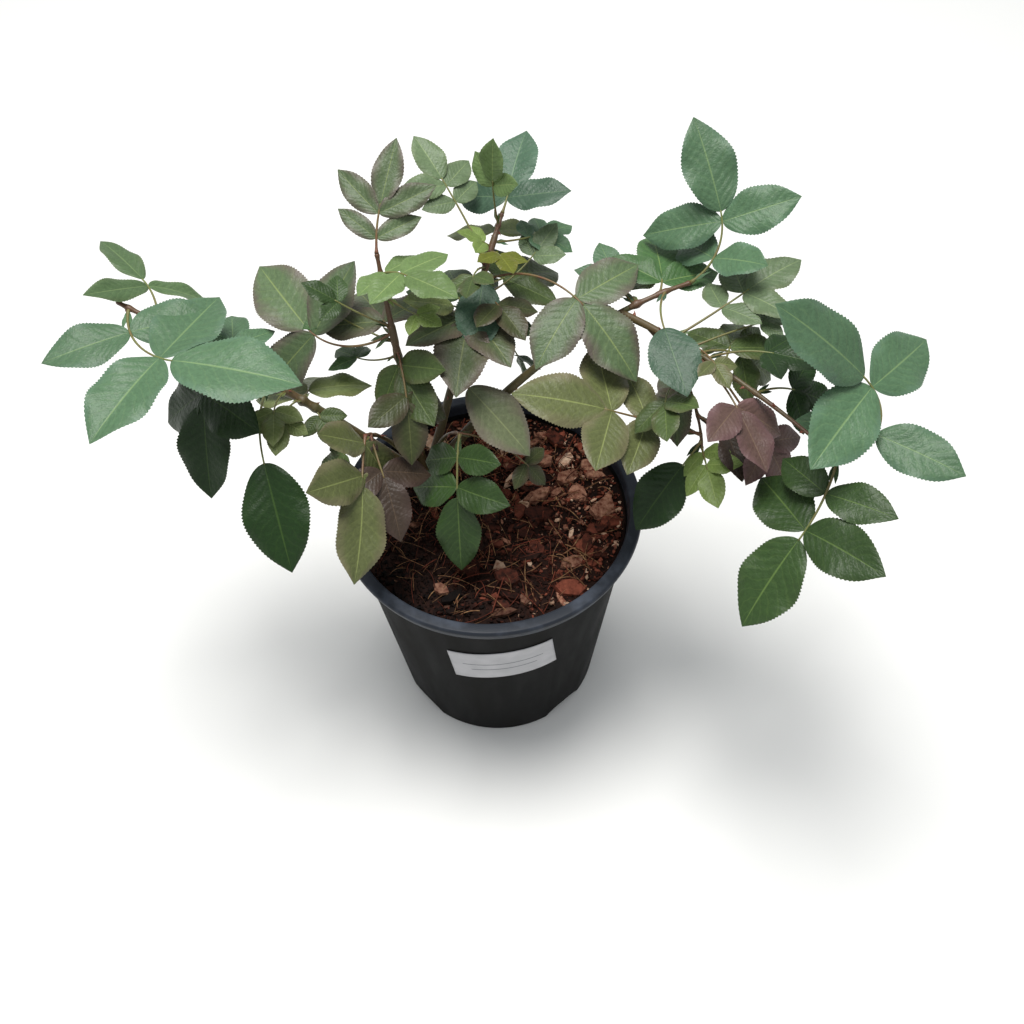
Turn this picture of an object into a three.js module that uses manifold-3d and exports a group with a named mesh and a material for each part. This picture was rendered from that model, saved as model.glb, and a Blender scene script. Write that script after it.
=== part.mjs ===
// A young rose bush in its nursery pot. Millimetres, +Z up. The origin is the centre of the pot's
// flat underside, and the side of the pot that carries the label faces -Y.
import * as THREE from "three";
import { mergeVertices } from "three/addons/utils/BufferGeometryUtils.js";
import Module from "manifold-3d";

const wasm = await Module();
wasm.setup();

const clearance = 0.3; // between any two solids that touch on the real plant
const sides = { pot: 36, arch: 14, mix: 30, knob: 10, cane: 6, stalk: 3 };
const degrees = Math.PI / 180;

// The pot: a thin tapered wall under a rolled rim, with drain arches cut through its lower edge.
const pot = {
  height: 183,
  baseRadius: 73,
  wallTopRadius: 92,
  wall: 1.8,
  floor: 2.5,
  rimRadius: 100,
  rimFootRadius: 97.5,
  rimInnerRadius: 91,
  rimHeight: 10,
  edge: 1.5,
};
const drains = { count: 4, firstTurn: -50, radius: 18, height: 12, depth: 11 };
const label = { width: 70, height: 38, thickness: 0.4, turn: -87, middle: 122, tilt: 6 };

// The growing mix: a bumpy top, with chips of bark lying in it.
const mix = { top: 171, bump: 2.2, chips: 8, chipLength: 17, chipWidth: 8, chipThickness: 3.5 };

// The graft: the short woody knob that all canes rise from, flat where it stands on the mix.
const graft = { x: -42, y: 22, height: 24, footRadius: 11, neckRadius: 7.5, knobRadius: 9 };

// Stalks and leaflets. Lengths in the second line are shares of the end leaflet's length.
const leafParts = { stalkRadius: 1.2, stalkTaper: 0.35, bends: [0, 0.5], steps: 48, spread: 62 };
const leafShares = { firstGap: 0.12, pairGap: 0.38, pairSize: 0.86, pairLoss: 0.17 };
const blade = { halfWidth: 0.31, thickness: 0.018, fold: 0.2, droop: 0.1 };

// Leaflets turn their faces towards the light by this share.
const light = { direction: new THREE.Vector3(0, -0.35, 0.94), pull: 0.5 };

// A cane thins by this share from its foot to its tip.
const caneTaper = 0.66;

// Every cane runs from its foot to its tip, bowed towards its knee. Up to its bare share it is a
// bough, and from there on the stem of a mass of leaves. A leaf stands on the cane at the share
// `at`, sets out on the heading `turn` (degrees from +X) at the slope `lift`, comes down by `sag`
// and turns by `swing` on its way. `size` is its end leaflet's length, `stalk` the bare stalk's.
// `roll` turns it about its stalk, and `spread` is how far its pairs stand off the stalk.
const canes = [
  {
    name: "left",
    from: "graft",
    knee: [-95, 5, 280],
    tip: [-212, 50, 325],
    radius: 3.8,
    bare: 0.42,
    leaves: [
      { at: 0.97, turn: -90, lift: -5, sag: -20, swing: 75, stalk: 20, size: 76, count: 5, roll: -5, spread: 95 },
      { at: 0.9, turn: 95, lift: 10, sag: 10, swing: 35, stalk: 30, size: 52, count: 3, roll: 35, spread: 100 },
      { at: 0.8, turn: -80, lift: -35, sag: 40, swing: -15, stalk: 30, size: 58, count: 3, roll: 40, spread: 70 },
      { at: 0.6, turn: -105, lift: 0, sag: 75, swing: 30, stalk: 55, size: 66, count: 1, roll: 20 },
      { at: 0.55, turn: -110, lift: 30, sag: 50, swing: 25, stalk: 25, size: 24, count: 3, roll: 10 },
      { at: 0.7, turn: 100, lift: 5, sag: 40, swing: 0, stalk: 15, size: 36, count: 3, roll: 5 },
      { at: 0.5, turn: 85, lift: -20, sag: 40, swing: 0, stalk: 15, size: 46, count: 3, roll: -10, spread: 72 },
      { at: 0.46, turn: -60, lift: -20, sag: 30, swing: 0, stalk: 6, size: 20, count: 3, roll: 10 },
      { at: 0.5, turn: -115, lift: 45, sag: 80, swing: 20, stalk: 32, size: 22, count: 3, roll: 0 },
    ],
  },
  {
    name: "tall",
    from: "graft",
    knee: [-48, 18, 270],
    tip: [-58, 60, 345],
    radius: 3.4,
    bare: 0.6,
    leaves: [
      { at: 0.72, turn: 205, lift: -20, sag: -60, swing: -80, stalk: 53, size: 62, count: 3, roll: -40, spread: 85 },
      { at: 1, turn: 90, lift: 45, sag: 20, swing: -20, stalk: 8, size: 40, count: 5, roll: 5, spread: 52 },
      { at: 0.93, turn: -40, lift: 40, sag: 80, swing: 0, stalk: 5, size: 38, count: 5, roll: -5, spread: 75 },
      { at: 0.65, turn: -75, lift: -10, sag: 65, swing: -10, stalk: 30, size: 38, count: 3, roll: -30 },
      { at: 0.68, turn: 155, lift: 5, sag: 0, swing: -15, stalk: 45, size: 24, count: 3, roll: -5 },
      { at: 0.85, turn: -45, lift: 0, sag: -10, swing: 5, stalk: 25, size: 18, count: 3, roll: 5 },
      { at: 0.7, turn: 115, lift: 5, sag: 50, swing: 0, stalk: 15, size: 46, count: 3, roll: 0 },
      { at: 0.62, turn: -95, lift: -15, sag: 5, swing: 35, stalk: 5, size: 42, count: 3, roll: 50, spread: 60 },
      { at: 0.74, turn: 180, lift: 30, sag: -10, swing: -10, stalk: 35, size: 22, count: 3, roll: -5 },
      { at: 0.63, turn: -195, lift: -35, sag: -30, swing: -30, stalk: 36, size: 22, count: 3, roll: 5 },
    ],
  },
  {
    name: "back",
    from: "graft",
    knee: [-10, 40, 300],
    tip: [15, 105, 335],
    radius: 3.4,
    bare: 0.5,
    leaves: [
      { at: 0.62, turn: -160, lift: 35, sag: 20, swing: 0, stalk: 15, size: 34, count: 1, roll: 0 },
      { at: 0.8, turn: 125, lift: 45, sag: 20, swing: 0, stalk: 40, size: 32, count: 5, roll: 5, spread: 70 },
      { at: 0.95, turn: 35, lift: 100, sag: 20, swing: 0, stalk: 30, size: 28, count: 3, roll: 5 },
      { at: 1, turn: 65, lift: 30, sag: 5, swing: 10, stalk: 10, size: 44, count: 3, roll: -15, spread: 85 },
      { at: 0.88, turn: 20, lift: -15, sag: -5, swing: 20, stalk: 25, size: 26, count: 5, roll: 5 },
      { at: 0.75, turn: -90, lift: -10, sag: 60, swing: -10, stalk: 5, size: 48, count: 1, roll: 0 },
      { at: 0.62, turn: -108, lift: 12, sag: 70, swing: 8, stalk: 6, size: 54, count: 3, roll: 0, spread: 40 },
      { at: 0.53, turn: -130, lift: -8, sag: 50, swing: 90, stalk: 40, size: 56, count: 1, roll: 10 },
      { at: 0.72, turn: -15, lift: 40, sag: 105, swing: -35, stalk: 70, size: 54, count: 3, roll: 10, spread: 75 },
      { at: 0.54, turn: 20, lift: -20, sag: 80, swing: 5, stalk: 50, size: 22, count: 3, roll: -25, spread: 75 },
      { at: 0.86, turn: -175, lift: 45, sag: 20, swing: 0, stalk: 6, size: 18, count: 3, roll: 5 },
      { at: 0.66, turn: -35, lift: -5, sag: 25, swing: 5, stalk: 25, size: 18, count: 1, roll: 0 },
      { at: 0.55, turn: 100, lift: 5, sag: 40, swing: 0, stalk: 30, size: 44, count: 3, roll: 0 },
      { at: 0.7, turn: 40, lift: -5, sag: 40, swing: 0, stalk: 20, size: 46, count: 3, roll: 5 },
      { at: 0.9, turn: 90, lift: -25, sag: 30, swing: 0, stalk: 25, size: 40, count: 3, roll: 0 },
      { at: 0.68, turn: -40, lift: 20, sag: 60, swing: -20, stalk: 18, size: 28, count: 3, roll: -10 },
      { at: 0.84, turn: -60, lift: 40, sag: 60, swing: -10, stalk: 15, size: 22, count: 3, roll: -20 },
      { at: 0.66, turn: 25, lift: 5, sag: -35, swing: 20, stalk: 45, size: 24, count: 3, roll: 0, spread: 55 },
      { at: 0.78, turn: 240, lift: 40, sag: 60, swing: 20, stalk: 22, size: 22, count: 3, roll: 20, spread: 55 },
    ],
  },
  {
    name: "right",
    from: "graft",
    knee: [30, 20, 315],
    tip: [124, 53, 320],
    radius: 3.6,
    bare: 0.8,
    leaves: [
      { at: 1, turn: 10, lift: 35, sag: -25, swing: 100, stalk: 20, size: 56, count: 5, roll: -27, spread: 85 },
      { at: 0.9, turn: 70, lift: 10, sag: 30, swing: 20, stalk: 10, size: 42, count: 3, roll: 5 },
      { at: 0.92, turn: -115, lift: 15, sag: 50, swing: 35, stalk: 35, size: 46, count: 1, roll: 20 },
      { at: 0.83, turn: 110, lift: -10, sag: 40, swing: 0, stalk: 20, size: 40, count: 3, roll: 0 },
      { at: 0.82, turn: 125, lift: 5, sag: -15, swing: -20, stalk: 20, size: 30, count: 3, roll: 10, spread: 55 },
    ],
  },
  {
    name: "far_right",
    from: "right",
    fromShare: 0.77,
    knee: [135, -5, 315],
    tip: [189, -70, 302],
    radius: 2.4,
    bare: 0.24,
    leaves: [
      { at: 0.26, turn: 25, lift: 15, sag: 0, swing: 5, stalk: 35, size: 38, count: 5, roll: -10, spread: 70 },
      { at: 0.3, turn: -50, lift: 35, sag: 60, swing: -20, stalk: 30, size: 18, count: 3, roll: -15 },
      { at: 0.38, turn: 20, lift: 0, sag: 85, swing: -15, stalk: 30, size: 32, count: 3, roll: 35 },
      { at: 0.32, turn: -55, lift: 5, sag: 40, swing: -15, stalk: 50, size: 38, count: 3, roll: -25 },
      { at: 0.45, turn: -55, lift: -25, sag: 35, swing: 15, stalk: 55, size: 32, count: 3, roll: 10 },
      { at: 0.65, turn: 25, lift: 0, sag: 65, swing: -20, stalk: 25, size: 30, count: 3, roll: 30, spread: 55 },
      { at: 0.97, turn: -30, lift: 15, sag: -60, swing: 195, stalk: 28, size: 68, count: 5, roll: -5, spread: 95 },
      { at: 1, turn: -110, lift: -30, sag: 25, swing: -30, stalk: 20, size: 58, count: 5, roll: 25, spread: 100 },
      { at: 0.34, turn: 15, lift: 15, sag: 25, swing: 5, stalk: 45, size: 20, count: 3, roll: 0 },
      { at: 0.5, turn: 70, lift: 0, sag: 30, swing: 0, stalk: 20, size: 34, count: 3, roll: 0 },
      { at: 0.42, turn: -5, lift: 30, sag: 45, swing: -20, stalk: 35, size: 30, count: 3, roll: -10, spread: 55 },
    ],
  },
  {
    name: "right_mid",
    from: "far_right",
    fromShare: 0.14,
    knee: [126, 2, 290],
    tip: [127, -25, 262],
    radius: 1.8,
    bare: 0.35,
    leaves: [
      { at: 0.5, turn: 190, lift: -55, sag: 20, swing: -10, stalk: 5, size: 40, count: 3, roll: 5, spread: 55 },
      { at: 0.9, turn: 175, lift: 20, sag: -5, swing: 5, stalk: 35, size: 56, count: 5, roll: -5, spread: 75 },
      { at: 1, turn: -90, lift: 10, sag: 30, swing: 5, stalk: 5, size: 26, count: 5, roll: 35 },
      { at: 0.95, turn: -135, lift: -30, sag: 45, swing: -10, stalk: 18, size: 50, count: 1, roll: -5 },
      { at: 0.75, turn: -40, lift: -10, sag: 10, swing: 10, stalk: 20, size: 40, count: 3, roll: -10, spread: 50 },
      { at: 0.45, turn: -140, lift: 20, sag: 30, swing: 45, stalk: 30, size: 28, count: 3, roll: 35, spread: 50 },
    ],
  },
  {
    name: "front_left",
    from: "graft",
    knee: [-60, 10, 250],
    tip: [-72, -5, 262],
    radius: 2.2,
    bare: 0.6,
    leaves: [
      { at: 1, turn: -95, lift: -10, sag: 35, swing: 5, stalk: 5, size: 58, count: 5, roll: -60, spread: 65 },
      { at: 0.8, turn: -170, lift: -25, sag: 35, swing: -5, stalk: 25, size: 26, count: 3, roll: -5 },
      { at: 0.9, turn: -75, lift: -15, sag: 35, swing: 5, stalk: 25, size: 40, count: 3, roll: -20, spread: 70 },
    ],
  },
  {
    name: "front",
    from: "graft",
    knee: [-30, 20, 240],
    tip: [-16, 0, 254],
    radius: 2,
    bare: 0.6,
    leaves: [
      { at: 1, turn: -100, lift: -30, sag: 45, swing: 10, stalk: 15, size: 48, count: 5, roll: 40, spread: 85 },
      { at: 0.9, turn: -5, lift: -5, sag: 65, swing: -15, stalk: 50, size: 20, count: 3, roll: 20, spread: 75 },
    ],
  },
];

// A repeatable share from 0 to 1 for each pair of numbers.
function chance(a, b) {
  const wave = Math.sin(a * 12.9898 + b * 78.233) * 43758.5453;
  return wave - Math.floor(wave);
}

const vary = (a, b, most) => (2 * chance(a, b) - 1) * most;

const vector = (x, y, z) => new THREE.Vector3(x, y, z);

// A closed geometry as a solid that can be joined and cut.
function solidOf(geometry) {
  const bare = geometry.clone();
  bare.deleteAttribute("normal");
  bare.deleteAttribute("uv");
  const merged = mergeVertices(bare, 1e-4);
  return new wasm.Manifold(
    new wasm.Mesh({
      numProp: 3,
      vertProperties: merged.attributes.position.array,
      triVerts: new Uint32Array(merged.index.array),
    }),
  );
}

function geometryOf(solid) {
  const { vertProperties, triVerts } = solid.getMesh();
  const geometry = new THREE.BufferGeometry();
  geometry.setAttribute("position", new THREE.BufferAttribute(vertProperties, 3));
  geometry.setIndex(new THREE.BufferAttribute(triVerts, 1));
  geometry.computeVertexNormals();
  return geometry;
}

const join = (solids) => solids.reduce((whole, next) => whole.add(next));

// The largest body of a solid, without the loose scraps that a cut can leave.
function largestBody(solid) {
  return solid.decompose().reduce((most, body) => (body.volume() > most.volume() ? body : most));
}

// Moves every vertex of a geometry to the place that `place` returns for it.
function bend(geometry, place) {
  const position = geometry.attributes.position;
  for (let i = 0; i < position.count; i++) {
    const moved = place(vector(position.getX(i), position.getY(i), position.getZ(i)));
    position.setXYZ(i, moved.x, moved.y, moved.z);
  }
  return geometry;
}

// A profile of [radius, height] points turned about the vertical axis.
function turned(profile, around) {
  const points = profile.map(([radius, height]) => new THREE.Vector2(radius, height));
  return new THREE.LatheGeometry(points, around).rotateX(90 * degrees);
}

const wallRadius = (z) =>
  pot.baseRadius + ((pot.wallTopRadius - pot.baseRadius) * z) / (pot.height - pot.rimHeight);

function potSolid() {
  const rimFoot = pot.height - pot.rimHeight;
  const shell = solidOf(
    turned(
      [
        [0, 0],
        [pot.baseRadius - pot.edge, 0],
        [wallRadius(pot.edge), pot.edge],
        [pot.wallTopRadius, rimFoot],
        [pot.rimFootRadius, rimFoot],
        [pot.rimRadius, pot.height - pot.edge],
        [pot.rimRadius - pot.edge, pot.height],
        [pot.rimInnerRadius + pot.edge, pot.height],
        [pot.rimInnerRadius, pot.height - pot.edge],
        [pot.wallTopRadius - pot.wall, rimFoot],
        [wallRadius(pot.floor) - pot.wall, pot.floor],
        [0, pot.floor],
      ],
      sides.pot,
    ),
  );
  const arches = [];
  for (let i = 0; i < drains.count; i++) {
    const arch = new THREE.CylinderGeometry(drains.radius, drains.radius, 2 * drains.depth, sides.arch);
    arch.translate(0, pot.baseRadius, 0);
    arch.rotateZ((drains.firstTurn - 90 + (i * 360) / drains.count) * degrees);
    arch.translate(0, 0, drains.height - drains.radius);
    arches.push(solidOf(arch));
  }
  return shell.subtract(join(arches));
}

// The label is a flat sheet bent round the wall.
function labelGeometry() {
  const sheet = new THREE.BoxGeometry(label.width, label.height, label.thickness, 12, 1, 1);
  sheet.rotateZ(label.tilt * degrees);
  return bend(sheet, (p) => {
    const z = label.middle + p.y;
    const radius = wallRadius(z) + clearance + label.thickness + p.z;
    const turn = label.turn * degrees + p.x / wallRadius(z);
    return vector(radius * Math.cos(turn), radius * Math.sin(turn), z);
  });
}

// Height of the bumps in the mix, which lies flat under the graft.
function bumpAt(x, y) {
  if (Math.hypot(x - graft.x, y - graft.y) < 3 * graft.footRadius) return 0;
  return mix.bump * (Math.sin(x / 8 + 1) * Math.cos(y / 10) + 0.6 * Math.sin((x + 2 * y) / 9));
}

function mixSolid() {
  const gap = clearance + 0.1;
  const bottom = pot.floor + gap;
  const innerRadius = (z) => wallRadius(z) - pot.wall - gap;
  const profile = [
    [0, bottom],
    [innerRadius(bottom), bottom],
    [innerRadius(mix.top), mix.top],
  ];
  const rings = 4;
  for (let ring = rings - 1; ring >= 0; ring--)
    profile.push([(innerRadius(mix.top) * ring) / rings, mix.top]);
  const bed = bend(turned(profile, sides.mix), (p) => {
    const inside = p.z > mix.top - 1 && Math.hypot(p.x, p.y) < innerRadius(mix.top) - 1;
    return inside ? vector(p.x, p.y, p.z + bumpAt(p.x, p.y)) : p;
  });
  const pieces = [solidOf(bed)];
  for (let i = 0; i < mix.chips; i++) {
    const turn = (i * 137.5 + vary(i, 1, 20)) * degrees;
    const radius = 76 * Math.sqrt(chance(i, 2));
    const x = radius * Math.cos(turn);
    const y = radius * Math.sin(turn);
    if (Math.hypot(x - graft.x, y - graft.y) < 2.5 * graft.footRadius) continue;
    const scale = 0.7 + 0.5 * chance(i, 3);
    const size = [mix.chipLength * scale, mix.chipWidth * scale, mix.chipThickness];
    const chip = new THREE.BoxGeometry(...size);
    chip.rotateX(vary(i, 4, 14) * degrees);
    chip.rotateY(vary(i, 5, 14) * degrees);
    chip.rotateZ(chance(i, 6) * Math.PI);
    chip.translate(x, y, mix.top + bumpAt(x, y) + 0.6);
    pieces.push(solidOf(chip));
  }
  return join(pieces);
}

function graftSolid(grown) {
  const foot = mix.top + clearance;
  const knob = turned(
    [
      [0, -grown],
      [graft.footRadius + grown, -grown],
      [graft.neckRadius + 1 + grown, 4],
      [graft.neckRadius + grown, 9],
      [graft.knobRadius + grown, 17],
      [graft.neckRadius - 1 + grown, graft.height - 2],
      [graft.neckRadius / 2 + grown, graft.height + grown],
      [0, graft.height + grown],
    ],
    sides.knob,
  );
  return solidOf(knob.translate(graft.x, graft.y, foot));
}

// A round limb along stations, each with a point, a radius and two axes across it.
function limb(stations, around) {
  const last = stations.length - 1;
  const rod = new THREE.CylinderGeometry(1, 1, 1, around, last);
  return bend(rod, (p) => {
    const { point, radius, side, face } = stations[Math.round((p.y + 0.5) * last)];
    return point.clone().addScaledVector(side, p.x * radius).addScaledVector(face, -p.z * radius);
  });
}

const caneCurve = (cane) =>
  new THREE.QuadraticBezierCurve3(cane.foot, vector(...cane.knee), vector(...cane.tip));

const caneRadius = (cane, share) => cane.radius * (1 - caneTaper * share);

function caneSolid(cane, from, to, grown = 0) {
  const steps = Math.max(3, Math.round(12 * (to - from)));
  const stations = [];
  for (let i = 0; i <= steps; i++) {
    const share = from + ((to - from) * i) / steps;
    const along = cane.curve.getTangent(share);
    const side = vector(0, 1, 0).cross(along).normalize();
    const face = along.clone().cross(side);
    const radius = caneRadius(cane, share) + grown;
    stations.push({ point: cane.curve.getPoint(share), radius, side, face });
  }
  return solidOf(limb(stations, sides.cane));
}

// Where a leaf's stalk has got to at each step, with the directions along it, across it to the
// left, and up out of its face.
function leafStations(leaf, start, length, straightFrom) {
  const { steps } = leafParts;
  const stations = [];
  const point = start.clone();
  for (let i = 0; i <= steps; i++) {
    const share = i / steps;
    const lift = (leaf.lift - leaf.sag * share) * degrees;
    const turn = (leaf.turn + leaf.swing * Math.min(1, share / straightFrom)) * degrees;
    const level = vector(Math.cos(turn), Math.sin(turn), 0);
    const along = level.clone().multiplyScalar(Math.cos(lift)).setZ(Math.sin(lift));
    const face = level.clone().multiplyScalar(-Math.sin(lift)).setZ(Math.cos(lift));
    const side = face.clone().cross(along);
    side.applyAxisAngle(along, leaf.roll * degrees);
    face.applyAxisAngle(along, leaf.roll * degrees);
    stations.push({ point: point.clone(), along, side, face });
    point.addScaledVector(along, length / steps);
  }
  return stations;
}

// One leaflet of unit length from the origin along +Y, facing +Z: a four-sided ball drawn out,
// folded up along its midrib and drooping to its tip.
function unitLeaflet() {
  return bend(new THREE.SphereGeometry(1, 4, 4), (p) => {
    const share = (1 + p.y) / 2;
    const ring = Math.sqrt(Math.max(1e-9, 1 - p.y * p.y));
    const swell = share < 1e-6 || share > 1 - 1e-6 ? 0 : Math.sin(Math.PI * share ** 0.85) ** 0.75;
    const across = (p.x / ring) * swell * blade.halfWidth;
    const lens = (p.z / ring) * Math.min(1, 2 * swell) * (blade.thickness / 2);
    const height = lens + blade.fold * Math.abs(across) - blade.droop * share * share;
    return vector(across, share, height);
  });
}

const leafletShape = unitLeaflet();

function leafletSolid(origin, along, face, length) {
  const lit = face.clone().lerp(light.direction, light.pull);
  const side = along.clone().cross(lit).normalize();
  const out = side.clone().cross(along);
  const place = new THREE.Matrix4().makeBasis(
    side.multiplyScalar(length),
    along.clone().multiplyScalar(length),
    out.multiplyScalar(length),
  );
  return solidOf(leafletShape.clone().applyMatrix4(place.setPosition(origin)));
}

// A whole leaf: its stalk, pairs of leaflets, and the end leaflet. `seed` varies its leaflets.
function leafSolid(cane, leaf, seed) {
  const pairs = (leaf.count - 1) / 2;
  const { firstGap, pairGap, pairSize, pairLoss } = leafShares;
  const stem = pairs ? leaf.size * (firstGap + pairGap * (pairs - 1)) : 0;
  const length = leaf.stalk + stem + leaf.size;
  const straightFrom = (leaf.stalk + stem) / length;
  const start = cane.curve.getPoint(leaf.at);
  const stations = leafStations(leaf, start, length, straightFrom);
  const station = (distance) => stations[Math.round((distance / length) * (stations.length - 1))];

  const knots = leafParts.bends.map((share) => leaf.stalk * share);
  for (let pair = 0; pair < pairs; pair++) knots.push(leaf.stalk + leaf.size * pairGap * pair);
  knots.push(leaf.stalk + stem);
  const stalk = knots.map((distance) => {
    const taper = 1 - (leafParts.stalkTaper * distance) / (leaf.stalk + stem);
    return { ...station(distance), radius: leafParts.stalkRadius * taper };
  });
  const solids = [solidOf(limb(stalk, sides.stalk))];

  const end = station(leaf.stalk + stem);
  const endFace = end.face.clone().applyAxisAngle(end.along, vary(seed, 0, 12) * degrees);
  const endStart = end.point.clone().addScaledVector(end.along, -1);
  solids.push(leafletSolid(endStart, end.along, endFace, leaf.size));
  for (let pair = 0; pair < pairs; pair++) {
    const joint = station(leaf.stalk + leaf.size * pairGap * pair);
    for (const hand of [1, -1]) {
      const key = 2 * pair + (hand > 0 ? 1 : 2);
      const spread = hand * ((leaf.spread ?? leafParts.spread) + vary(seed, key, 8)) * degrees;
      const along = joint.along.clone().applyAxisAngle(joint.face, spread);
      const face = joint.face.clone().applyAxisAngle(along, vary(seed, key + 10, 15) * degrees);
      const share = pairSize - pairLoss * (pairs - 1 - pair);
      const size = leaf.size * share * (1 + vary(seed, key + 20, 0.07));
      solids.push(leafletSolid(joint.point, along, face, size));
    }
  }
  return join(solids);
}

const material = (color, roughness) => new THREE.MeshStandardMaterial({ color, roughness, metalness: 0 });
const materials = {
  pot: material("#2b2c2b", 0.5),
  mix: material("#3a221b", 0.95),
  label: material("#d6d6d2", 0.6),
  bark: material("#5b4634", 0.8),
  leaf: material("#4c6b48", 0.6),
};

const root = new THREE.Group();
const solids = {};

function addPart(name, solid, look) {
  const mesh = new THREE.Mesh(geometryOf(solid), look);
  mesh.name = name;
  root.add(mesh);
  solids[name] = solid;
}

addPart("pot", potSolid(), materials.pot);
addPart("growing_mix", mixSolid(), materials.mix);
addPart("label", solidOf(labelGeometry()), materials.label);
addPart("graft", graftSolid(0), materials.bark);

// Boughs first, each cut clear of the wood that it rises from.
const grownWood = { graft: graftSolid(clearance) };
const byName = {};
for (const cane of canes) {
  byName[cane.name] = cane;
  const parent = byName[cane.from];
  const graftMiddle = vector(graft.x, graft.y, mix.top + graft.height / 2);
  cane.foot = parent ? parent.curve.getPoint(cane.fromShare) : graftMiddle;
  cane.curve = caneCurve(cane);
  const bough = caneSolid(cane, 0, cane.bare).subtract(join(Object.values(grownWood)));
  addPart(cane.name + "_bough", largestBody(bough), materials.bark);
  grownWood[cane.name] = caneSolid(cane, 0, cane.bare, clearance);
}

// Then the masses. A leaf that would touch another part of the plant is left out.
canes.forEach((cane, number) => {
  const otherWood = Object.keys(grownWood).filter((name) => name !== cane.name);
  const start = cane.bare + clearance / cane.curve.getLength();
  const own = [caneSolid(cane, start, 1).subtract(join(otherWood.map((name) => grownWood[name])))];
  cane.leaves.forEach((leaf, i) => {
    const solid = leafSolid(cane, leaf, 10 * number + i);
    const touches = Object.values(solids).some((other) => solid.minGap(other, clearance) < clearance);
    if (!touches) own.push(solid);
  });
  addPart(cane.name + "_leaves", largestBody(join(own)), materials.leaf);
});

export default root;
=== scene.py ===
import math

import bpy
import numpy as np
from mathutils import Matrix


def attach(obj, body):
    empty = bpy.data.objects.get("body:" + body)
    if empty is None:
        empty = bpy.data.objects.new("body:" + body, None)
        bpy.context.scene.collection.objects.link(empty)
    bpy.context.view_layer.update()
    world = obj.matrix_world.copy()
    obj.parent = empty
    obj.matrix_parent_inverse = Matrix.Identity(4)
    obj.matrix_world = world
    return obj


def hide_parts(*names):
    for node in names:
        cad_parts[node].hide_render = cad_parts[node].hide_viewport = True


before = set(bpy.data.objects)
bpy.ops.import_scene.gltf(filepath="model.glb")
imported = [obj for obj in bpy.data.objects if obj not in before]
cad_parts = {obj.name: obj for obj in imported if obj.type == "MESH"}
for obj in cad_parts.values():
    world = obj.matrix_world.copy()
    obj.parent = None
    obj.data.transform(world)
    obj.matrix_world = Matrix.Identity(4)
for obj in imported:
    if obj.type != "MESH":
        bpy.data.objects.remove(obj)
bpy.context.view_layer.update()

mm = 0.001
print("frame loaded:", len(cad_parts), "solids")

# ---- camera, floor and light
view = dict(place=(13.93, -441.83, 758.09), down=52.935, roll=-2.226, lens=38.672, sensor=36, nearest=0.05)


def makeCamera(c):
    # looks along (0, cos d, -sin d), turned about that line by the roll
    d, r = math.radians(c["down"]), math.radians(c["roll"])
    forward = np.array([0, math.cos(d), -math.sin(d)])
    right = np.array([1.0, 0, 0])
    up = np.array([0, math.sin(d), math.cos(d)])
    right, up = math.cos(r) * right + math.sin(r) * up, math.cos(r) * up - math.sin(r) * right
    data = bpy.data.cameras.new("camera")
    data.sensor_width = c["sensor"]
    data.lens = c["lens"]
    data.clip_start = c["nearest"]
    data.dof.use_dof = False
    camera = bpy.data.objects.new("camera", data)
    turn = Matrix(np.column_stack([right, up, -forward]).tolist()).to_4x4()
    turn.translation = [n * mm for n in c["place"]]
    camera.matrix_world = turn
    bpy.context.scene.collection.objects.link(camera)
    bpy.context.scene.camera = camera


makeCamera(view)
bpy.context.scene.view_settings.view_transform = "Standard"


def linear(hexCode):
    # an sRGB hex colour as linear red, green, blue and alpha
    parts = [int(hexCode[i : i + 2], 16) / 255 for i in (1, 3, 5)]
    return tuple(p / 12.92 if p <= 0.04045 else ((p + 0.055) / 1.055) ** 2.4 for p in parts) + (1.0,)


def addNode(tree, kind, inputs=None, **settings):
    # a shader node: its settings first, then each input linked or given its value
    made = tree.nodes.new(kind)
    for name, value in settings.items():
        setattr(made, name, value)
    for socket, value in (inputs or {}).items():
        if isinstance(value, bpy.types.NodeSocket):
            tree.links.new(value, made.inputs[socket])
        else:
            made.inputs[socket].default_value = value
    return made


def objectPlace(tree):
    return addNode(tree, "ShaderNodeTexCoord").outputs["Object"]


def ownShade(tree):
    return addNode(tree, "ShaderNodeAttribute", attribute_name="ownShade").outputs["Fac"]


def noise(tree, place, scale, detail, **inputs):
    # cloudy noise about 0.5, its waves 1 / scale metres long
    inputs = dict(Vector=place, Scale=scale, Detail=detail, **inputs)
    return addNode(tree, "ShaderNodeTexNoise", inputs).outputs[0]


def ranged(tree, value, low, high, start, end, curve="LINEAR"):
    # carries low..high over to start..end, and holds the ends
    inputs = {0: value, 1: low, 2: high, 3: start, 4: end}
    return addNode(tree, "ShaderNodeMapRange", inputs, interpolation_type=curve).outputs[0]


def calc(tree, operation, *values):
    # one step of arithmetic; MULTIPLY_ADD is a b + c
    return addNode(tree, "ShaderNodeMath", dict(enumerate(values)), operation=operation).outputs[0]


def blend(tree, share, first, second):
    return addNode(tree, "ShaderNodeMix", {0: share, 6: first, 7: second}, data_type="RGBA").outputs[2]


def ownTone(tree, colour, amount):
    # the colour times 1 + amount x the piece's own shade
    value = calc(tree, "MULTIPLY_ADD", ownShade(tree), amount, 1.0)
    return addNode(tree, "ShaderNodeHueSaturation", dict(Value=value, Color=colour)).outputs[0]


def paint(tree, shader, colour, height, strength, depth):
    # the surface's colour, and a fine relief as deep as `depth` metres
    tree.links.new(colour, shader.inputs["Base Color"])
    bump = addNode(tree, "ShaderNodeBump", dict(Strength=strength, Distance=depth, Height=height))
    tree.links.new(bump.outputs[0], shader.inputs["Normal"])


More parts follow.
